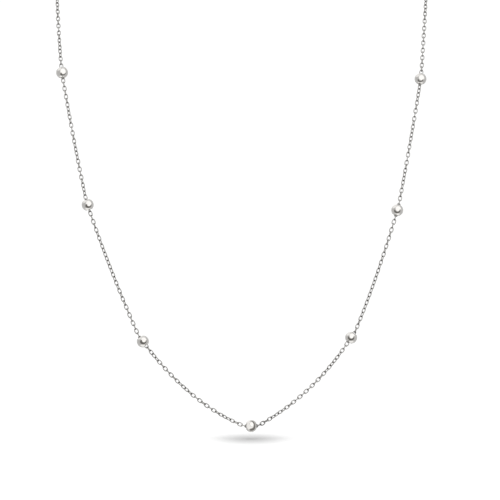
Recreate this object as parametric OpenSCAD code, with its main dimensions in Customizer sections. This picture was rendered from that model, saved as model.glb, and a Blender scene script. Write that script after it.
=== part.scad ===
// Fine cable chain necklace with drilled balls spaced along it, closed by a ring clasp at the nape.
// Millimetres, +Z up, +X to the right seen from the front, +Y to the back.
// The origin is the point at the back of the neck that the clasp rests on.

/* [Balls] */
// Diameter of a ball
ball_d = 3; // [2.6:0.1:3.2]
// Diameter of the hole drilled through a ball
bore_d = 1.3; // [1.25:0.05:1.5]

/* [Chain] */
// Width across the links of the chain
chain_w = 1.1; // [0.8:0.05:1.15]

/* [Clasp] */
// Outer diameter of the clasp's ring
clasp_d = 6; // [5:0.5:7]
// Thickness of the clasp's ring
clasp_t = 1.3; // [1.1:0.1:1.4]
// Outer diameter of the eye soldered to the clasp
eye_d = 2.4; // [2.2:0.1:2.8]
// Outer diameter of the end ring on each end of the chain
end_ring_d = 3; // [2.8:0.1:3.2]
// Thickness of the wire of the eye and the end rings
wire_t = 0.5; // [0.4:0.05:0.6]

/* [Hidden] */
// Clearance between rings that pass through each other
link_gap = 0.15;
// Clearance between an end of the chain and its end ring
chain_gap = 0.2;
// Clearance between the clasp and the neck
neck_gap = 0.1;

// Radii from the middle of a ring to the middle of its wire
clasp_r = (clasp_d - clasp_t) / 2;
eye_r = (eye_d - wire_t) / 2;
end_ring_r = (end_ring_d - wire_t) / 2;

// Places along X, from the middle of the clasp's ring, with each end ring pulled tight
eye_x = -(clasp_d / 2 + eye_r);
left_ring_x = eye_x - eye_r + wire_t + link_gap - end_ring_r;
right_ring_x = clasp_r - clasp_t / 2 - link_gap - wire_t / 2 + end_ring_r;
left_reach = left_ring_x - end_ring_d / 2;
right_reach = right_ring_x + end_ring_d / 2;

// The clasp and its rings are centred on the nape
clasp_x = -(left_reach + right_reach) / 2;
clasp_y = neck_gap + clasp_t / 2;
chain_end = (right_reach - left_reach) / 2 + chain_gap;

// Each row of the route is a place on the chain, the bow of the span that follows it and how much of
// the chain's lean to the back the hole of a ball keeps there: all of it at 1, none at 0.
// A bow is how far the middle of a span stands off the straight line between its ends.
PLACE = 0;
BOW = 1;
HOLE_LEAN = 2;

// The balls, from the left of the nape down the left side, round the front and up the right side
BALLS = [
    [[-31, -8, -4.75], [-2.5, 1.75, 1], 1],
    [[-47, -33.5, -19.5], [-0.25, -0.5, 0.45], 1],
    [[-45.5, -55.4, -47.4], [0, 0, -0.8], 0.4],
    [[-38.8, -69.3, -79.8], [-0.3, 0, -0.2], 0.4],
    [[-24.9, -75.4, -113.7], [-0.4, 0, -2.4], 0.4],
    [[2.3, -85, -134], [1.2, 0, -1.4], 0.4],
    [[27.4, -73.7, -112.9], [0, 0, -1.2], 0.4],
    [[39.1, -65, -81.5], [0, 0, -0.6], 0.4],
    [[45.2, -51.1, -49.3], [0.05, -0.35, 0.2], 0.4],
    [[47, -31, -20.5], [2.5, 1.75, 1], 1],
    [[31, -7, -4], [0, 1.75, 1], 1]
];
ball_count = len(BALLS);
LEFT_END = [[-chain_end, clasp_y, 0], [0, 1.75, 1]];
RIGHT_END = [[chain_end, clasp_y, 0], [0, 0, 0]];
ROUTE = concat([LEFT_END], BALLS, [RIGHT_END]);
last_stop = len(ROUTE) - 1;

// The chain lies straight in a ball's hole, for this far from its middle
bore_run = 1.7;
// Steps along each span and sides round the chain
span_steps = 5;
chain_sides = 8;
// Square to the plane that the loop hangs in
loop_normal = [0, 0.84, -0.54];

// How far a cutter runs past what it cuts
over = 0.5;

function two_digits(n) = str(n < 10 ? "0" : "", n);
function ball_name(n) = str("ball_", two_digits(n));
BALL_NODES = [for (n = [1:ball_count]) ball_name(n)];

function unit(v) = v / norm(v);
function place(stop) = ROUTE[stop][PLACE];
function is_ball(stop) = stop > 0 && stop < last_stop;

// The line of a ball's hole halves the angle between the spans on both sides of it, but leans back less
function hole_line(stop) =
    let (along = unit(place(stop + 1) - place(stop)) + unit(place(stop) - place(stop - 1)))
    unit([along.x, along.y * ROUTE[stop][HOLE_LEAN], along.z]);

// Where the chain comes out of a ball, ahead of it or behind it along the route
function mouth(stop, way) =
    is_ball(stop) ? place(stop) + way * bore_run * hole_line(stop) : place(stop);

function span_point(from, to, bow, t) = from + (to - from) * t + bow * 4 * t * (1 - t);

chain_path = [
    for (stop = [0:last_stop - 1])
        for (step = [0:span_steps])
            span_point(mouth(stop, 1), mouth(stop + 1, -1), ROUTE[stop][BOW], step / span_steps)
];
ring_count = len(chain_path);

function heading(k) = unit(
    (k < ring_count - 1 ? unit(chain_path[k + 1] - chain_path[k]) : [0, 0, 0])
    + (k > 0 ? unit(chain_path[k] - chain_path[k - 1]) : [0, 0, 0])
);

// The corner points of one ring of the tube, counted round its heading
function ring_corners(k) =
    let (side = unit(cross(loop_normal, heading(k))), up = cross(heading(k), side))
    [for (s = [0:chain_sides - 1])
        let (turn = 360 * s / chain_sides)
        chain_path[k] + chain_w / 2 * (cos(turn) * side + sin(turn) * up)];

function corner(k, s) = k * chain_sides + s % chain_sides;

module chain() {
    corners = [for (k = [0:ring_count - 1]) each ring_corners(k)];
    walls = [
        for (k = [0:ring_count - 2])
            for (s = [0:chain_sides - 1])
                each [
                    [corner(k, s), corner(k + 1, s), corner(k + 1, s + 1)],
                    [corner(k, s), corner(k + 1, s + 1), corner(k, s + 1)]
                ]
    ];
    first_cap = [for (s = [0:chain_sides - 1]) corner(0, s)];
    last_cap = [for (s = [chain_sides - 1:-1:0]) corner(ring_count - 1, s)];
    color("darkgray")
        polyhedron(points = corners, faces = concat([first_cap], walls, [last_cap]));
}

module ball(stop) {
    line = hole_line(stop);
    color("silver")
        translate(place(stop))
            rotate([0, acos(line.z), atan2(line.y, line.x)])
                difference() {
                    sphere(d = ball_d, $fn = 64);
                    cylinder(d = bore_d, h = ball_d + 2 * over, center = true, $fn = 48);
                }
}

// A round ring of round wire that lies flat in the XY plane
module round_ring(outer_d, thickness) {
    rotate_extrude($fn = 64)
        translate([(outer_d - thickness) / 2, 0])
            circle(d = thickness, $fn = 32);
}

// The clasp stands flat against the neck, with its eye on the left
module clasp() {
    color("silver")
        translate([clasp_x, clasp_y, 0])
            rotate([90, 0, 0])
                union() {
                    round_ring(clasp_d, clasp_t);
                    translate([eye_x, 0, 0])
                        round_ring(eye_d, wire_t);
                }
}

module end_ring(x) {
    color("darkgray")
        translate([clasp_x + x, clasp_y, 0])
            round_ring(end_ring_d, wire_t);
}

chain();
for (stop = [1:ball_count]) {
    ball(stop);
}
clasp();
end_ring(left_ring_x);  // end_ring_left
end_ring(right_ring_x);  // end_ring_right
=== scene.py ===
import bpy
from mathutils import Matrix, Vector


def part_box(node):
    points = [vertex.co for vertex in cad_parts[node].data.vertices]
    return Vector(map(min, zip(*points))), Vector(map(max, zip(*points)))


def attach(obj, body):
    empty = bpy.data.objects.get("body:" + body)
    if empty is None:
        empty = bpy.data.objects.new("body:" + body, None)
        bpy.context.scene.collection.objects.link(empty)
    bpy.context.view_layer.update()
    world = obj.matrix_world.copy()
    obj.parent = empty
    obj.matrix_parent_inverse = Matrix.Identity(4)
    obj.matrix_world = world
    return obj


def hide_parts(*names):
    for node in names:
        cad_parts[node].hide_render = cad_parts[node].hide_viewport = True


bl_info = {
    "name": "Ball Station Necklace",
    "version": (1, 0, 0),
    "blender": (4, 5, 0),
    "location": "3D View > Sidebar > Necklace",
    "description": "Fine silver cable chain with drilled balls spaced along it and a ring clasp",
    "category": "Add Mesh",
}

import math
import random
from collections import namedtuple

import bmesh
import bpy
import numpy as np
from mathutils import Matrix, Vector, noise

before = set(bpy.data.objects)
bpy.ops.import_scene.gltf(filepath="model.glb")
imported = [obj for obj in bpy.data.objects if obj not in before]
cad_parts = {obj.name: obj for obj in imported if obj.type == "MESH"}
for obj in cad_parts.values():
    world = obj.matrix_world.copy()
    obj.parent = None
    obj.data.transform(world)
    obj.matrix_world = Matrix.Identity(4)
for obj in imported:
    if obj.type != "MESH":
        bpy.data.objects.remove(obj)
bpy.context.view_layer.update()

MM = 0.001
BODY = "root"

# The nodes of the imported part, in the order in which the chain runs through them
BALL_NODES = [f"ball_{number:02d}" for number in range(1, 12)]
CLASP = "clasp"
LEFT_RING = "end_ring_left"
RIGHT_RING = "end_ring_right"

# The spans of the chain, from the left end ring down the left side, round the front and up the right
# side. bow is how far the middle of a span stands off the straight line between its ends, in mm.
# links numbers the links at its ends, with the share of a link by which they are off the ball's middle.
# turns is how far the chain has turned about itself, in degrees, where it comes out of the ball or
# ring behind, at each fifth of the span, and where it goes into the one ahead.
Span = namedtuple("Span", "bow links turns")
SPANS = [
    Span((0, 1.75, 1), (0, 26), (0, 0, 0, 0, 0, 0)),
    Span((-2.5, 1.75, 1), (26, 57.95), (2, 10, 20, 30, 40, 50)),
    Span((-0.25, -0.5, 0.45), (57.95, 90.5), (63, 94, 134, 175, 222, 272)),
    Span((0, 0, -0.8), (91.12, 123.86), (272, 280, 351, 405, 461, 516)),
    Span((-0.3, 0, -0.2), (123.9, 157.78), (560, 511, 489, 476, 454, 446)),
    Span((-0.4, 0, -2.4), (157.8, 190.7), (448, 526, 562, 648, 579, 536)),
    Span((1.2, 0, -1.4), (191.2, 223.73), (523, 580, 621, 635, 668, 732)),
    Span((0, 0, -1.2), (223.96, 255.83), (638, 659, 671, 658, 639, 628)),
    Span((0, 0, -0.6), (256.1, 288.89), (628, 659, 720, 770, 826, 859)),
    Span((0.05, -0.35, 0.2), (289.51, 322.12), (797, 808, 804, 842, 872, 918)),
    Span((2.5, 1.75, 1), (322.12, 354), (925, 930, 935, 940, 950, 958)),
    Span((0, 1.75, 1), (354, 379), (964, 970, 980, 990, 990, 990)),
]
FIFTHS = (0.2, 0.4, 0.6, 0.8)

# Straight steps that each span's curve is laid in
SPAN_STEPS = 80
# The chain runs straight through a ball's hole, for this far from the ball's middle
BORE_RUN = 1.7 * MM
# How much of the chain's lean to the back the hole of each ball keeps
HOLE_LEANS = [1, 1, 0.4, 0.4, 0.4, 0.4, 0.4, 0.4, 0.4, 1, 1]

# A link whose turn is nought shows its face in this direction
FACING = Vector((0, 1, 0))
# Each link is turned by a little more or less than its place asks, in degrees
UNEVEN_TURN = 3
UNEVEN_SEED = 4
# A link bends round its ends a little more squarely than an oval, whose power is 1
LINK_BEND_POWER = 2 / 2.3
LINK_STEPS = 24
LINK_WIRE_SIDES = 8
# How closely the darkening of a link keeps to the joints at its ends: painted shade where the links
# overlap, along with tarnish
JOINT_SHADE_CLOSENESS = 4

# Steps round a ball, along its outline and along the softened edge of its hole
BALL_STEPS = 64
BALL_OUTLINE_STEPS = 36
LIP_STEPS = 8

# Steps round a ring of the clasp, and round its wire
RING_STEPS = 144
RING_WIRE_SIDES = 28
# Where each end ring is soldered shut, in degrees round it from the right
SEAM_TURNS = {LEFT_RING: 75, RIGHT_RING: -110}
# How far the wire of an end ring is pinched at its seam, as a share of its thickness
SEAM_DEPTH = 0.1
# The bead of solder at the clasp's eye: its size in thicknesses of the eye's wire, how far it is
# from a true oval, how close its dents lie and how dull it is
SOLDER = (0.9, 0.75, 1.1)
SOLDER_DENTS = 0.06
SOLDER_DENT_SCALE = 1.7
SOLDER_ROUNDS = 3
SOLDER_DULLNESS = 0.5

# How silver is finished: the marks of the polishing cloth to a mm, the roughness where it is smooth
# and where it is worn and the depth of the marks, then the dulled patches to a mm, how dull they
# are from 0 to 1 and their colour
Finish = namedtuple("Finish", "marks_per_mm smooth worn mark_depth patches_per_mm dullness dull")
# On the chain the dull colour is also laid on the link ends at the joints, as painted shade where the
# links overlap, along with tarnish
CHAIN_FINISH = Finish(10.0, 0.1, 0.28, 0.002 * MM, 0.8, 0.25, (0.2, 0.19, 0.18))
BALL_FINISH = Finish(14.0, 0.05, 0.13, 0.0008 * MM, 0.5, 0.2, (0.55, 0.53, 0.5))
CLASP_FINISH = Finish(8.0, 0.08, 0.22, 0.001 * MM, 0.4, 0.3, (0.34, 0.32, 0.29))
# The cloth is drawn over the silver twice, each time at another turn, in radians, and the marks are
# drawn out the more the smaller their stretch
STROKES = ((0.4, 0.12), (-0.9, 0.2))
STROKE_NOISE = {"Detail": 3.0, "Roughness": 0.6}
# Broad worn places among the marks: how many there are to one mark, and how even they are
WORN_PLACES = 0.08
WORN_NOISE = {"Detail": 2.0}
# The mean of two strokes and the worn places is smooth up to the first value and worn at the second
MEAN_OF_THREE = 0.333
SMOOTH_TO_WORN = {"From Min": 0.35, "From Max": 0.7}
PATCH_NOISE = {"Detail": 4.0, "Roughness": 0.6}
CLEAN_TO_DULL = {"From Min": 0.42, "From Max": 0.75}

# The photograph is taken from a little above, at a distance, and 500 of its pixels span 125 mm
VIEW_ELEVATION = math.radians(5)
VIEW_DISTANCE = 2.0
VIEW_END = 20
SENSOR_WIDTH = 36
FRAME_PX = 500
PX = 0.25 * MM
BOTTOM_BALL = "ball_06"
BOTTOM_BALL_PX = (251.2, 426.0)

# What the silver mirrors: mid grey walls, then round patches of light or dark, each laid over those
# before it. A patch is how far its middle is off the line to the camera, its turn from the
# picture's right, its radius and the softness of its edge, all in degrees, and its shade.
WALL_SHADE = 0.5
MIRRORED_LOBES = [
    (180, 0, 62, 15, 0.6),
    (172, -90, 20, 12, 0.2),
    (146, 112, 19, 8, 1.05),
    (92, -90, 30, 12, 0.95),
    (100, 121, 32, 12, 0.93),
    (92, 80, 26, 12, 0.72),
    (36, 50, 53, 12, 1.12),
]
# Silver mirrors silver up to this many times, such as a link in its neighbour
MIRRORED_TIMES = 12
# The dark flag is a curved card low in front of the necklace. Each row of a card is a turn from the
# picture's right, and how far off the line to the camera the card starts and ends there, in degrees.
FLAG_DISTANCE = 0.12
FLAG_COLOUR = (0.13, 0.126, 0.118)
FLAG_EDGES = [
    (-226, 28, 46), (-190, 22, 64), (-176, 20, 70), (-162, 17, 76), (-146, 15, 80), (-120, 15, 80),
    (-95, 16, 80), (-70, 21, 80), (-45, 30, 80), (-20, 42, 82), (-5, 52, 84), (10, 62, 84),
    (24, 70, 84),
]
# Small cards close by the bottom ball, which mirrors them in the large flag's place
SMALL_FLAG_DISTANCE = 6.5 * MM
SMALL_WHITE_DISTANCE = SMALL_FLAG_DISTANCE * 1.1
SMALL_FLAG_COLOUR = (0.17, 0.165, 0.155)
SMALL_FLAG_EDGES = [
    (-128, 60, 104), (-104, 36, 110), (-72, 29, 112), (-50, 31, 104), (-20, 37, 86), (0, 40, 79),
    (15, 42, 79), (40, 48, 90), (66, 66, 110), (95, 94, 122), (112, 100, 128),
]
SMALL_WHITE_COLOUR = (0.93, 0.93, 0.93)
SMALL_WHITE_EDGES = [
    (20, 0, 42), (-14, 0, 50), (-40, 0, 52), (-58, 0, 52), (-78, 0, 56), (-100, 0, 76), (-120, 0, 90),
    (-150, 0, 92), (-180, 0, 94), (-200, 0, 96), (-222, 0, 96), (-242, 0, 90),
]
# Each card thins out towards its edges, over this share of its width
FLAG_FADE = 0.32
WHITE_FADE = 0.15
CARD_STEPS = 16

# The soft lamp overhead: its strength, and how wide it looks, in degrees
LAMP_STRENGTH = 0.55
LAMP_WIDTH = 40
PAPER_ROUGHNESS = 0.9


def box_middle(node):
    low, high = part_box(node)
    return (low + high) / 2


def box_size(node):
    low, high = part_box(node)
    return high - low


class ChainSizes(bpy.types.PropertyGroup):
    link_length: bpy.props.FloatProperty(
        name="Link length", description="Outer length of a link",
        default=1.6 * MM, unit="LENGTH", precision=6)
    link_width: bpy.props.FloatProperty(
        name="Link width", description="Outer width of a link",
        default=1.1 * MM, unit="LENGTH", precision=6)
    wire: bpy.props.FloatProperty(
        name="Wire", description="Thickness of the wire that the links are bent from",
        default=0.25 * MM, unit="LENGTH", precision=6)
    silver: bpy.props.FloatVectorProperty(
        name="Silver", description="Colour of the wire", subtype="COLOR",
        default=(0.54, 0.53, 0.51), min=0, max=1)


class BallSizes(bpy.types.PropertyGroup):
    diameter: bpy.props.FloatProperty(
        name="Diameter", description="Diameter of a ball",
        default=max(box_size(BALL_NODES[0])), unit="LENGTH", precision=6)
    bore: bpy.props.FloatProperty(
        name="Hole", description="Diameter of the hole drilled through a ball",
        default=1.3 * MM, unit="LENGTH", precision=6)
    lip: bpy.props.FloatProperty(
        name="Lip", description="Radius of the softened edge of the hole",
        default=0.1 * MM, unit="LENGTH", precision=6)
    silver: bpy.props.FloatVectorProperty(
        name="Silver", description="Colour of the polished balls", subtype="COLOR",
        default=(0.93, 0.91, 0.88), min=0, max=1)


class ClaspSizes(bpy.types.PropertyGroup):
    diameter: bpy.props.FloatProperty(
        name="Diameter", description="Outer diameter of the clasp's ring",
        default=box_size(CLASP).z, unit="LENGTH", precision=6)
    thickness: bpy.props.FloatProperty(
        name="Thickness", description="Thickness of the clasp's ring",
        default=box_size(CLASP).y, unit="LENGTH", precision=6)
    eye: bpy.props.FloatProperty(
        name="Eye", description="Outer diameter of the eye soldered to the clasp",
        default=2.4 * MM, unit="LENGTH", precision=6)
    end_ring: bpy.props.FloatProperty(
        name="End ring", description="Outer diameter of the rings at the ends of the chain",
        default=box_size(LEFT_RING).x, unit="LENGTH", precision=6)
    ring_wire: bpy.props.FloatProperty(
        name="Ring wire", description="Thickness of the wire of the eye and the end rings",
        default=box_size(LEFT_RING).z, unit="LENGTH", precision=6)
    seam: bpy.props.FloatProperty(
        name="Seam", description="Width of the soldered seam across the wire of a ring",
        default=0.05 * MM, unit="LENGTH", precision=6)
    silver: bpy.props.FloatVectorProperty(
        name="Silver", description="Colour of the clasp and the end rings", subtype="COLOR",
        default=(0.88, 0.86, 0.83), min=0, max=1)


class StudioSizes(bpy.types.PropertyGroup):
    floor_size: bpy.props.FloatProperty(
        name="Floor", description="Width of the floor",
        default=12.0, unit="LENGTH")
    floor_drop: bpy.props.FloatProperty(
        name="Drop", description="Height of the lowest ball above the floor",
        default=1.75 * MM, unit="LENGTH", precision=6)
    paper: bpy.props.FloatVectorProperty(
        name="Paper", description="Colour of the floor", subtype="COLOR",
        default=(0.9, 0.9, 0.9), min=0, max=1)
    shaded_paper: bpy.props.FloatVectorProperty(
        name="Shaded paper",
        description="Colour of the floor in the middle of the shade under the bottom ball",
        subtype="COLOR", default=(0.59, 0.59, 0.59), min=0, max=1)
    shade_radius: bpy.props.FloatProperty(
        name="Shade", description="How far the soft shade under the bottom ball reaches to each side",
        default=12 * MM, unit="LENGTH", precision=6)
    shade_core: bpy.props.FloatProperty(
        name="Core of the shade", description="How far the shade is at its darkest",
        default=1.2 * MM, unit="LENGTH", precision=6)
    shade_depth: bpy.props.FloatProperty(
        name="Depth of the shade", description="Times that the shade is deeper than it is wide",
        default=1.35)


# Shader nodes

def add_node(tree, kind, values=None, links=None, **settings):
    """A node of a tree with its settings, the values of its inputs and what feeds them."""
    made = tree.nodes.new(kind)
    for name, value in settings.items():
        setattr(made, name, value)
    for key, value in (values or {}).items():
        made.inputs[key].default_value = value
    for key, source in (links or {}).items():
        tree.links.new(source, made.inputs[key])
    return made


def math_node(tree, operation, first, second):
    """A Math node on two inputs, each a number or the output of another node."""
    made = tree.nodes.new("ShaderNodeMath")
    made.operation = operation
    for socket, source in zip(made.inputs, (first, second)):
        if isinstance(source, (int, float)):
            socket.default_value = source
        else:
            tree.links.new(source, socket)
    return made.outputs[0]


def new_group(name, inputs, outputs):
    """A shader node group with named float or colour sockets, and its input and output nodes."""
    group = bpy.data.node_groups.new(name, "ShaderNodeTree")
    for socket_name, kind, default in inputs:
        socket = group.interface.new_socket(socket_name, in_out="INPUT", socket_type=kind)
        if default is not None:
            socket.default_value = default
    for socket_name, kind in outputs:
        group.interface.new_socket(socket_name, in_out="OUTPUT", socket_type=kind)
    return group, group.nodes.new("NodeGroupInput"), group.nodes.new("NodeGroupOutput")


def polish_marks_group():
    """The hairline marks that a polishing cloth leaves, as a height and as a change of roughness."""
    name = "Polish marks"
    if name in bpy.data.node_groups:
        return bpy.data.node_groups[name]
    group, given, result = new_group(
        name,
        [("Place", "NodeSocketVector", None), ("Marks per mm", "NodeSocketFloat", 12.0),
         ("Smooth", "NodeSocketFloat", 0.06), ("Worn", "NodeSocketFloat", 0.16)],
        [("Height", "NodeSocketFloat"), ("Roughness", "NodeSocketFloat")])
    per_metre = math_node(group, "MULTIPLY", given.outputs["Marks per mm"], 1 / MM)
    strokes = []
    for turn, stretch in STROKES:
        laid = add_node(
            group, "ShaderNodeMapping", {"Rotation": (turn, turn * 2, turn), "Scale": (1, stretch, 1)},
            {"Vector": given.outputs["Place"]})
        marks = add_node(
            group, "ShaderNodeTexNoise", STROKE_NOISE,
            {"Vector": laid.outputs["Vector"], "Scale": per_metre})
        strokes.append(marks.outputs["Fac"])
    height = math_node(group, "ADD", *strokes)
    places = add_node(
        group, "ShaderNodeTexNoise", WORN_NOISE,
        {"Vector": given.outputs["Place"],
         "Scale": math_node(group, "MULTIPLY", per_metre, WORN_PLACES)})
    summed = math_node(group, "ADD", height, places.outputs["Fac"])
    roughness = add_node(
        group, "ShaderNodeMapRange", SMOOTH_TO_WORN,
        {"Value": math_node(group, "MULTIPLY", summed, MEAN_OF_THREE),
         "To Min": given.outputs["Smooth"], "To Max": given.outputs["Worn"]})
    group.links.new(height, result.inputs["Height"])
    group.links.new(roughness.outputs["Result"], result.inputs["Roughness"])
    return group


def tarnish_and_shade_group():
    """Dulled silver that gathers in patches, and the dull colour where a mask says; on the chain that
    mask lays painted shade at the joints, along with tarnish.
    """
    name = "Tarnish"
    if name in bpy.data.node_groups:
        return bpy.data.node_groups[name]
    group, given, result = new_group(
        name,
        [("Place", "NodeSocketVector", None), ("Patches per mm", "NodeSocketFloat", 0.6),
         ("Silver", "NodeSocketColor", (0.9, 0.9, 0.9, 1)),
         ("Dull", "NodeSocketColor", (0.4, 0.38, 0.35, 1)),
         ("Mask", "NodeSocketFloat", 0.0), ("Amount", "NodeSocketFloat", 0.3)],
        [("Color", "NodeSocketColor")])
    patches = add_node(
        group, "ShaderNodeTexNoise", PATCH_NOISE,
        {"Vector": given.outputs["Place"],
         "Scale": math_node(group, "MULTIPLY", given.outputs["Patches per mm"], 1 / MM)})
    patchy = add_node(
        group, "ShaderNodeMapRange", CLEAN_TO_DULL, {"Value": patches.outputs["Fac"]})
    in_patches = math_node(group, "MULTIPLY", patchy.outputs["Result"], given.outputs["Amount"])
    gathered = math_node(group, "MAXIMUM", in_patches, given.outputs["Mask"])
    mixed = add_node(group, "ShaderNodeMix", None, {"Factor": gathered}, data_type="RGBA")
    group.links.new(given.outputs["Silver"], mixed.inputs["A"])
    group.links.new(given.outputs["Dull"], mixed.inputs["B"])
    group.links.new(mixed.outputs["Result"], result.inputs["Color"])
    return group


def silver_material(name, silver, finish, mask=None):
    """Polished silver with its finish. mask names the attribute that says where a piece is darker: on
    the chain, painted shade with tarnish at the joints.
    """
    material = bpy.data.materials.new(name)
    material.use_nodes = True
    tree = material.node_tree
    shader = tree.nodes["Principled BSDF"]
    shader.inputs["Metallic"].default_value = 1.0
    place = add_node(tree, "ShaderNodeTexCoord").outputs["Object"]
    polish = add_node(
        tree, "ShaderNodeGroup",
        {"Marks per mm": finish.marks_per_mm, "Smooth": finish.smooth, "Worn": finish.worn},
        {"Place": place}, node_tree=polish_marks_group())
    tree.links.new(polish.outputs["Roughness"], shader.inputs["Roughness"])
    bump = add_node(
        tree, "ShaderNodeBump", {"Strength": 1.0, "Distance": finish.mark_depth},
        {"Height": polish.outputs["Height"]})
    tree.links.new(bump.outputs["Normal"], shader.inputs["Normal"])
    dulled_and_shaded = add_node(
        tree, "ShaderNodeGroup",
        {"Patches per mm": finish.patches_per_mm, "Silver": (*silver, 1), "Dull": (*finish.dull, 1),
         "Amount": finish.dullness},
        {"Place": place}, node_tree=tarnish_and_shade_group())
    if mask:
        gathered = add_node(tree, "ShaderNodeAttribute", attribute_name=mask)
        tree.links.new(gathered.outputs["Fac"], dulled_and_shaded.inputs["Mask"])
    tree.links.new(dulled_and_shaded.outputs["Color"], shader.inputs["Base Color"])
    return material


# Meshes

def add_piece(name, points, faces, material, replaced):
    """A smooth mesh that rides with the necklace in the place of one or more nodes of the frame."""
    mesh = bpy.data.meshes.new(name)
    mesh.from_pydata([tuple(point) for point in points], [], [tuple(face) for face in faces])
    mesh.materials.append(material)
    mesh.shade_smooth()
    piece = bpy.data.objects.new(name, mesh)
    bpy.context.scene.collection.objects.link(piece)
    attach(piece, BODY)
    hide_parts(*replaced)
    return piece


def add_attribute(piece, name, values):
    """A number for each point of a piece, which its material reads by name."""
    piece.data.attributes.new(name, "FLOAT", "POINT").data.foreach_set("value", values)


def looped_faces(rows, columns):
    """Faces over a grid of points, row by row, that closes on itself both ways."""
    here, side = np.meshgrid(np.arange(rows), np.arange(columns), indexing="ij")
    ahead = (here + 1) % rows
    beside = (side + 1) % columns
    corners = [
        here * columns + side, ahead * columns + side,
        ahead * columns + beside, here * columns + beside,
    ]
    return np.stack(corners, axis=-1).reshape(-1, 4)


def turned(outline, steps):
    """A closed outline of (radius, height) turned round the Z axis, as points and faces."""
    radius, height = np.array(outline).T
    turn = np.arange(steps) * 2 * math.pi / steps
    points = np.empty((steps, len(radius), 3))
    points[..., 0] = np.cos(turn)[:, None] * radius
    points[..., 1] = np.sin(turn)[:, None] * radius
    points[..., 2] = height
    return points.reshape(-1, 3), looped_faces(steps, len(radius))


def arc(middle, radius, start, end, steps):
    """Points on an arc of a circle in the plane of radius and height, its angles in degrees."""
    angles = [math.radians(start + (end - start) * step / steps) for step in range(steps + 1)]
    return [
        (middle[0] + radius * math.cos(angle), middle[1] + radius * math.sin(angle))
        for angle in angles
    ]


# The route of the chain

def chain_stops(chain):
    """Where the chain is held: in its first and last link, on the end rings, and in each ball."""
    left_low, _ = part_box(LEFT_RING)
    _, right_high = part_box(RIGHT_RING)
    left, right = box_middle(LEFT_RING), box_middle(RIGHT_RING)
    reach = box_size(LEFT_RING).z + chain.wire / 2 - (chain.link_length - chain.wire) / 2
    left.x = left_low.x + reach
    right.x = right_high.x - reach
    return [left] + [box_middle(node) for node in BALL_NODES] + [right]


def hole_line(stops, stop):
    """The direction of a ball's hole. It halves the angle between the spans on both sides of it, but
    leans back less than they do."""
    line = (stops[stop + 1] - stops[stop]).normalized() + (stops[stop] - stops[stop - 1]).normalized()
    line.y *= HOLE_LEANS[stop - 1]
    return line.normalized()


def span_points(stops, span):
    """The centreline of one span of the chain, from the stop before it to the stop after it."""
    start, end = stops[span], stops[span + 1]
    first = start if span == 0 else start + hole_line(stops, span) * BORE_RUN
    last = end if span == len(stops) - 2 else end - hole_line(stops, span + 1) * BORE_RUN
    bow = Vector(SPANS[span].bow) * MM
    points = []
    for step in range(SPAN_STEPS + 1):
        along = step / SPAN_STEPS
        points.append(first.lerp(last, along) + bow * 4 * along * (1 - along))
    return np.array([start] + points + [end])


def places_along(line, distances):
    """The points at some distances along a line of points."""
    walked = np.concatenate([[0], np.cumsum(np.linalg.norm(np.diff(line, axis=0), axis=1))])
    return np.stack([np.interp(distances, walked, line[:, axis]) for axis in range(3)], axis=1)


def link_places(chain):
    """The middle, the heading and the turn of each link. The links are numbered along the route, and
    each reaches from the joint with the link before it to the joint with the one after."""
    stops = chain_stops(chain)
    route = [np.array([stops[0]])]
    walked, numbered, turn_at, turns = [0], [0], [], []
    end = 0
    for index, span in enumerate(SPANS):
        line = span_points(stops, index)
        route.append(line[1:])
        length = np.linalg.norm(np.diff(line, axis=0), axis=1).sum()
        first, last = span.links
        out_of_ball, into_ball = BORE_RUN / length, 1 - BORE_RUN / length
        for share in (out_of_ball, into_ball):
            walked.append(end + share * length)
            numbered.append(first + share * (last - first))
        for share in (out_of_ball, *FIFTHS, into_ball):
            turn_at.append(first + share * (last - first))
        turns.extend(span.turns)
        end += length
    walked.append(end)
    numbered.append(last)
    joint_numbers = np.arange(last) + 0.5
    joints = places_along(np.concatenate(route), np.interp(joint_numbers, numbered, walked))
    before_first = 2 * np.array(stops[0]) - joints[0]
    after_last = 2 * np.array(stops[-1]) - joints[-1]
    joints = np.vstack([before_first, joints, after_last])
    places = []
    for number, turn in enumerate(np.interp(np.arange(last + 1), turn_at, turns)):
        before, after = Vector(joints[number]), Vector(joints[number + 1])
        quarter_turn = 90 * (number % 2)
        places.append((
            (before + after) / 2, (after - before).normalized(), math.radians(turn + quarter_turn)))
    return places


def link_shape(chain):
    """One link along X: its points, in rings round its wire, how near each is to a joint, and its
    faces."""
    half_length = (chain.link_length - chain.wire) / 2
    half_width = (chain.link_width - chain.wire) / 2
    rings, nearness = [], []
    for step in range(LINK_STEPS):
        turn = 2 * math.pi * step / LINK_STEPS
        cosine, sine = math.cos(turn), math.sin(turn)
        middle = Vector((
            math.copysign(abs(cosine) ** LINK_BEND_POWER, cosine) * half_length,
            math.copysign(abs(sine) ** LINK_BEND_POWER, sine) * half_width, 0))
        outward = Vector((cosine / half_length, sine / half_width, 0)).normalized()
        for side in range(LINK_WIRE_SIDES):
            round_wire = 2 * math.pi * side / LINK_WIRE_SIDES
            offset = outward * math.cos(round_wire) + Vector((0, 0, 1)) * math.sin(round_wire)
            rings.append(middle + offset * chain.wire / 2)
            # Nearness to a joint sets how much painted shade, along with tarnish, darkens the link
            # there
            nearness.append(abs(cosine) ** JOINT_SHADE_CLOSENESS)
    return np.array(rings), nearness, looped_faces(LINK_STEPS, LINK_WIRE_SIDES)


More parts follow.
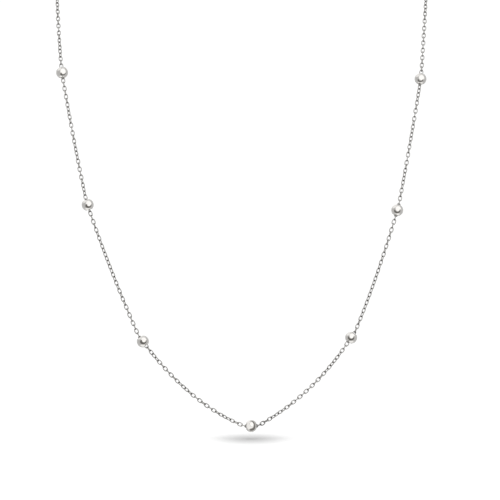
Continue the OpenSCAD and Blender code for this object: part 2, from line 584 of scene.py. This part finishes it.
class NECKLACE_OT_chain(bpy.types.Operator):
    """Links the cable chain from one end ring, through every ball, to the other"""

    bl_idname = "necklace.chain"
    bl_label = "Cable chain"

    def execute(self, context):
        chain = context.scene.necklace_chain
        shape, nearness, faces = link_shape(chain)
        points, all_faces, joint = [], [], []
        uneven = random.Random(UNEVEN_SEED)
        for middle, heading, turn in link_places(chain):
            side = FACING.cross(heading).normalized()
            upright = Matrix((heading, side, heading.cross(side))).transposed()
            sway = Matrix.Rotation(turn + math.radians(uneven.gauss(0, UNEVEN_TURN)), 3, "X")
            placed = shape @ np.array(upright @ sway).T + np.array(middle)
            all_faces.append(faces + len(points) * len(shape))
            points.append(placed)
            joint.extend(nearness)
        # The link ends near the joints take the dull colour: painted shade where the links overlap,
        # along with tarnish
        material = silver_material("chain silver", chain.silver, CHAIN_FINISH, "joint")
        piece = add_piece(
            "chain_links", np.concatenate(points), np.concatenate(all_faces), material,
            ["chain"])
        add_attribute(piece, "joint", joint)
        return {"FINISHED"}


class NECKLACE_OT_balls(bpy.types.Operator):
    """Turns the drilled balls and threads them on the chain"""

    bl_idname = "necklace.balls"
    bl_label = "Balls"

    def execute(self, context):
        balls = context.scene.necklace_balls
        chain = context.scene.necklace_chain
        radius, bore, lip = balls.diameter / 2, balls.bore / 2, balls.lip
        # The lip's arc touches the ball from inside and the bore from outside
        lip_middle = bore + lip
        lip_height = math.sqrt((radius - lip) ** 2 - lip_middle ** 2)
        lean = math.degrees(math.atan2(lip_height, lip_middle))
        outline = (
            arc((0, 0), radius, -lean, lean, BALL_OUTLINE_STEPS)
            + arc((lip_middle, lip_height), lip, lean, 180, LIP_STEPS)[1:]
            + arc((lip_middle, -lip_height), lip, 180, 360 - lean, LIP_STEPS)
        )[:-1]
        points, faces = turned(outline, BALL_STEPS)
        stops = chain_stops(chain)
        material = silver_material("ball silver", balls.silver, BALL_FINISH)
        for stop, node in enumerate(BALL_NODES, start=1):
            piece = add_piece(f"{node}_polished", points, faces, material, [node])
            turn = hole_line(stops, stop).to_track_quat("Z", "Y").to_matrix().to_4x4()
            piece.matrix_world = Matrix.Translation(stops[stop]) @ turn
        return {"FINISHED"}


def wire_ring(outer, wire, seam=0, seam_turn=0):
    """A round ring of round wire about the Z axis, pinched at a soldered seam, and how near each of
    its points is to that seam."""
    middle = (outer - wire) / 2
    points, faces = turned(arc((middle, 0), wire / 2, 0, 360, RING_WIRE_SIDES)[:-1], RING_STEPS)
    if seam == 0:
        return points, faces, np.zeros(len(points))
    turn = np.arctan2(points[:, 1], points[:, 0])
    spine = np.stack([np.cos(turn) * middle, np.sin(turn) * middle, np.zeros(len(turn))], axis=1)
    off_seam = np.abs((turn - math.radians(seam_turn) + math.pi) % (2 * math.pi) - math.pi) * middle
    nearness = np.exp(-(off_seam / seam) ** 2)
    pinched = spine + (points - spine) * (1 - SEAM_DEPTH * nearness)[:, None]
    return pinched, faces, nearness


def solder_bead(size):
    """A small uneven bead of solder."""
    shape = bmesh.new()
    bmesh.ops.create_icosphere(shape, subdivisions=SOLDER_ROUNDS, radius=1)
    for corner in shape.verts:
        corner.co *= 1 + SOLDER_DENTS * noise.noise(corner.co * SOLDER_DENT_SCALE)
        corner.co *= Vector(size)
    points = np.array([corner.co[:] for corner in shape.verts])
    faces = [[corner.index for corner in face.verts] for face in shape.faces]
    shape.free()
    return points, faces


class NECKLACE_OT_clasp(bpy.types.Operator):
    """Makes the ring clasp with its soldered eye, and the two end rings"""

    bl_idname = "necklace.clasp"
    bl_label = "Clasp"

    def execute(self, context):
        clasp = context.scene.necklace_clasp
        material = silver_material("clasp silver", clasp.silver, CLASP_FINISH, "seam")
        low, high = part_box(CLASP)
        ring_middle = Vector((high.x - clasp.diameter / 2, (low.y + high.y) / 2, 0))
        eye_middle = Vector((low.x + clasp.eye / 2, ring_middle.y, 0))
        joint = Vector((ring_middle.x - clasp.diameter / 2, ring_middle.y, 0))
        ring, ring_faces, ring_seam = wire_ring(clasp.diameter, clasp.thickness)
        eye, eye_faces, eye_seam = wire_ring(clasp.eye, clasp.ring_wire)
        bead, bead_faces = solder_bead(Vector(SOLDER) * clasp.ring_wire)
        upright = np.array(Matrix.Rotation(math.pi / 2, 3, "X")).T
        points = np.concatenate([
            ring @ upright + np.array(ring_middle), eye @ upright + np.array(eye_middle),
            bead + np.array(joint)])
        faces = (
            ring_faces.tolist() + (eye_faces + len(ring)).tolist()
            + [[corner + len(ring) + len(eye) for corner in face] for face in bead_faces])
        solder = np.full(len(bead), SOLDER_DULLNESS)
        piece = add_piece("clasp_polished", points, faces, material, [CLASP])
        add_attribute(piece, "seam", np.concatenate([ring_seam, eye_seam, solder]))
        for node, seam_turn in SEAM_TURNS.items():
            points, faces, nearness = wire_ring(clasp.end_ring, clasp.ring_wire, clasp.seam, seam_turn)
            placed = points + np.array(box_middle(node))
            piece = add_piece(f"{node}_polished", placed, faces, material, [node])
            add_attribute(piece, "seam", nearness)
        return {"FINISHED"}


class NECKLACE_OT_studio(bpy.types.Operator):
    """Sets up the floor, the light and the camera"""

    bl_idname = "necklace.studio"
    bl_label = "Studio"

    def execute(self, context):
        studio = context.scene.necklace_studio
        make_floor(studio)
        make_surround(context.scene)
        make_cards()
        make_lamp(context.scene)
        make_camera(context.scene)
        return {"FINISHED"}


def make_floor(studio):
    """A sheet of white paper, with the soft round shade that lies on it under the bottom ball."""
    half = studio.floor_size / 2
    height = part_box(BOTTOM_BALL)[0].z - studio.floor_drop
    below_ball = box_middle(BOTTOM_BALL)
    below_ball.z = height
    round_shade = Vector((1, 1 / studio.shade_depth, 1))
    mesh = bpy.data.meshes.new("floor")
    mesh.from_pydata(
        [(-half, -half, height), (half, -half, height), (half, half, height), (-half, half, height)],
        [], [(0, 1, 2, 3)])
    paper = bpy.data.materials.new("white paper")
    paper.use_nodes = True
    tree = paper.node_tree
    shader = tree.nodes["Principled BSDF"]
    place = add_node(tree, "ShaderNodeNewGeometry").outputs["Position"]
    rounded = add_node(
        tree, "ShaderNodeVectorMath", {1: round_shade}, {0: place}, operation="MULTIPLY")
    away = add_node(
        tree, "ShaderNodeVectorMath", {1: below_ball * round_shade},
        {0: rounded.outputs["Vector"]}, operation="DISTANCE")
    nearness = add_node(
        tree, "ShaderNodeMapRange",
        {"From Min": studio.shade_radius, "From Max": studio.shade_core},
        {"Value": away.outputs["Value"]}, interpolation_type="SMOOTHSTEP")
    shaded = add_node(
        tree, "ShaderNodeMix", None, {"Factor": nearness.outputs["Result"]}, data_type="RGBA")
    shaded.inputs["A"].default_value = (*studio.paper, 1)
    shaded.inputs["B"].default_value = (*studio.shaded_paper, 1)
    tree.links.new(shaded.outputs["Result"], shader.inputs["Base Color"])
    shader.inputs["Roughness"].default_value = PAPER_ROUGHNESS
    shader.inputs["Specular IOR Level"].default_value = 0.0
    mesh.materials.append(paper)
    floor = bpy.data.objects.new("floor", mesh)
    floor.visible_glossy = False
    bpy.context.scene.collection.objects.link(floor)


def from_camera(right, up, nearer):
    """A direction or a distance in the picture's own axes, turned into the part's axes."""
    rise = math.sin(VIEW_ELEVATION)
    level = math.cos(VIEW_ELEVATION)
    return Vector((right, rise * up - level * nearer, level * up + rise * nearer))


def round_the_camera(off_axis, turn):
    """The direction so many degrees off the line to the camera, turned so many from the right."""
    off_axis, turn = math.radians(off_axis), math.radians(turn)
    return from_camera(
        math.sin(off_axis) * math.cos(turn), math.sin(off_axis) * math.sin(turn), math.cos(off_axis))


def picture_middle():
    """The point of the necklace's own depth that lies in the middle of the picture."""
    across = (BOTTOM_BALL_PX[0] - FRAME_PX / 2) * PX
    below = (BOTTOM_BALL_PX[1] - FRAME_PX / 2) * PX
    return box_middle(BOTTOM_BALL) + from_camera(-across, below, 0)


def make_card(name, middle, distance, edges, colour, fade):
    """A curved card round a point, that only the silver mirrors. It thins out to nothing at its
    first and last row, and over a share of its width at the ends of the others."""
    points, faces, solid = [], [], []
    for row, (turn, start, end) in enumerate(edges):
        whole_row = 0 < row < len(edges) - 1
        for step in range(CARD_STEPS + 1):
            share = step / CARD_STEPS
            points.append(middle + round_the_camera(start + (end - start) * share, turn) * distance)
            solid.append(min(1, min(share, 1 - share) / fade) if whole_row else 0)
    columns = CARD_STEPS + 1
    for row in range(len(edges) - 1):
        for step in range(CARD_STEPS):
            corner = row * columns + step
            faces.append((corner, corner + 1, corner + 1 + columns, corner + columns))
    mesh = bpy.data.meshes.new(name)
    mesh.from_pydata(points, [], faces)
    mesh.attributes.new("solid", "FLOAT", "POINT").data.foreach_set("value", solid)
    material = bpy.data.materials.new(name)
    material.use_nodes = True
    tree = material.node_tree
    shader = tree.nodes["Principled BSDF"]
    shader.inputs["Base Color"].default_value = (0, 0, 0, 1)
    shader.inputs["Specular IOR Level"].default_value = 0.0
    shader.inputs["Emission Color"].default_value = (*colour, 1)
    shader.inputs["Emission Strength"].default_value = 1.0
    thinned = add_node(tree, "ShaderNodeAttribute", attribute_name="solid").outputs["Fac"]
    soft_edge = add_node(
        tree, "ShaderNodeMapRange", None, {"Value": thinned}, interpolation_type="SMOOTHSTEP")
    tree.links.new(soft_edge.outputs["Result"], shader.inputs["Alpha"])
    mesh.materials.append(material)
    card = bpy.data.objects.new(name, mesh)
    card.visible_camera = False
    card.visible_diffuse = False
    card.visible_transmission = False
    card.visible_shadow = False
    bpy.context.scene.collection.objects.link(card)


def make_surround(scene):
    """A white surround for the paper, and the patches of light that only the silver mirrors."""
    world = bpy.data.worlds.new("studio")
    scene.world = world
    world.use_nodes = True
    tree = world.node_tree
    tree.nodes.clear()
    towards = add_node(tree, "ShaderNodeTexCoord").outputs["Generated"]
    shade = WALL_SHADE
    for off_axis, turn, radius, softness, lobe_shade in MIRRORED_LOBES:
        nearness = add_node(
            tree, "ShaderNodeVectorMath", {1: round_the_camera(off_axis, turn)}, {0: towards},
            operation="DOT_PRODUCT").outputs["Value"]
        edge = add_node(
            tree, "ShaderNodeMapRange",
            {"From Min": math.cos(math.radians(radius + softness)),
             "From Max": math.cos(math.radians(radius - softness)), "To Max": 1.0},
            {"Value": nearness}, interpolation_type="SMOOTHSTEP")
        mixed = add_node(
            tree, "ShaderNodeMix", {"B": lobe_shade}, {"Factor": edge.outputs["Result"]},
            data_type="FLOAT")
        if isinstance(shade, float):
            mixed.inputs["A"].default_value = shade
        else:
            tree.links.new(shade, mixed.inputs["A"])
        shade = mixed.outputs["Result"]
    mirrored = add_node(tree, "ShaderNodeBackground", {"Color": (1, 1, 1, 1)}, {"Strength": shade})
    white = add_node(tree, "ShaderNodeBackground", {"Color": (1, 1, 1, 1), "Strength": 1.0})
    glossy = add_node(tree, "ShaderNodeLightPath").outputs["Is Glossy Ray"]
    surround = add_node(
        tree, "ShaderNodeMixShader", None,
        {"Fac": glossy, 1: white.outputs["Background"], 2: mirrored.outputs["Background"]})
    add_node(tree, "ShaderNodeOutputWorld", None, {"Surface": surround.outputs["Shader"]})


def make_cards():
    """The dark flag before the whole necklace, and the small pair of cards by the bottom ball."""
    make_card("dark_flag", picture_middle(), FLAG_DISTANCE, FLAG_EDGES, FLAG_COLOUR, FLAG_FADE)
    bottom = box_middle(BOTTOM_BALL)
    make_card(
        "small_dark_flag", bottom, SMALL_FLAG_DISTANCE, SMALL_FLAG_EDGES, SMALL_FLAG_COLOUR,
        FLAG_FADE)
    make_card(
        "small_white_card", bottom, SMALL_WHITE_DISTANCE, SMALL_WHITE_EDGES, SMALL_WHITE_COLOUR,
        WHITE_FADE)


def make_lamp(scene):
    """The soft lamp overhead, which lights the paper and isn't mirrored."""
    overhead = bpy.data.lights.new("overhead", "SUN")
    overhead.energy = LAMP_STRENGTH
    overhead.angle = math.radians(LAMP_WIDTH)
    lamp = bpy.data.objects.new("overhead", overhead)
    lamp.visible_glossy = False
    scene.collection.objects.link(lamp)
    scene.view_settings.view_transform = "Standard"
    scene.cycles.glossy_bounces = MIRRORED_TIMES


def make_camera(scene):
    """The camera of the photograph: the bottom ball falls on its pixel."""
    towards = from_camera(0, 0, 1)
    data = bpy.data.cameras.new("camera")
    data.sensor_width = SENSOR_WIDTH
    data.lens = SENSOR_WIDTH * VIEW_DISTANCE / (FRAME_PX * PX)
    data.clip_end = VIEW_END
    camera = bpy.data.objects.new("camera", data)
    camera.location = picture_middle() + towards * VIEW_DISTANCE
    camera.rotation_euler = towards.to_track_quat("Z", "Y").to_euler()
    scene.collection.objects.link(camera)
    scene.camera = camera


class NECKLACE_PT_sidebar(bpy.types.Panel):
    """The necklace's sizes and the buttons that make its pieces"""

    bl_idname = "NECKLACE_PT_sidebar"
    bl_label = "Ball station necklace"
    bl_space_type = "VIEW_3D"
    bl_region_type = "UI"
    bl_category = "Necklace"

    def draw(self, context):
        for operator, settings in STEPS:
            box = self.layout.box()
            group = getattr(context.scene, settings)
            for name in group.__annotations__:
                box.prop(group, name)
            box.operator(operator.bl_idname)


SETTINGS = {
    "necklace_chain": ChainSizes,
    "necklace_balls": BallSizes,
    "necklace_clasp": ClaspSizes,
    "necklace_studio": StudioSizes,
}
STEPS = [
    (NECKLACE_OT_chain, "necklace_chain"),
    (NECKLACE_OT_balls, "necklace_balls"),
    (NECKLACE_OT_clasp, "necklace_clasp"),
    (NECKLACE_OT_studio, "necklace_studio"),
]


def register():
    for name, group in SETTINGS.items():
        bpy.utils.register_class(group)
        setattr(bpy.types.Scene, name, bpy.props.PointerProperty(type=group))
    for operator, _ in STEPS:
        bpy.utils.register_class(operator)
    bpy.utils.register_class(NECKLACE_PT_sidebar)


def unregister():
    bpy.utils.unregister_class(NECKLACE_PT_sidebar)
    for operator, _ in reversed(STEPS):
        bpy.utils.unregister_class(operator)
    for name, group in reversed(SETTINGS.items()):
        delattr(bpy.types.Scene, name)
        bpy.utils.unregister_class(group)


def main():
    register()
    bpy.ops.necklace.chain()
    bpy.ops.necklace.balls()
    bpy.ops.necklace.clasp()
    bpy.ops.necklace.studio()


if __name__ == "__main__":
    main()
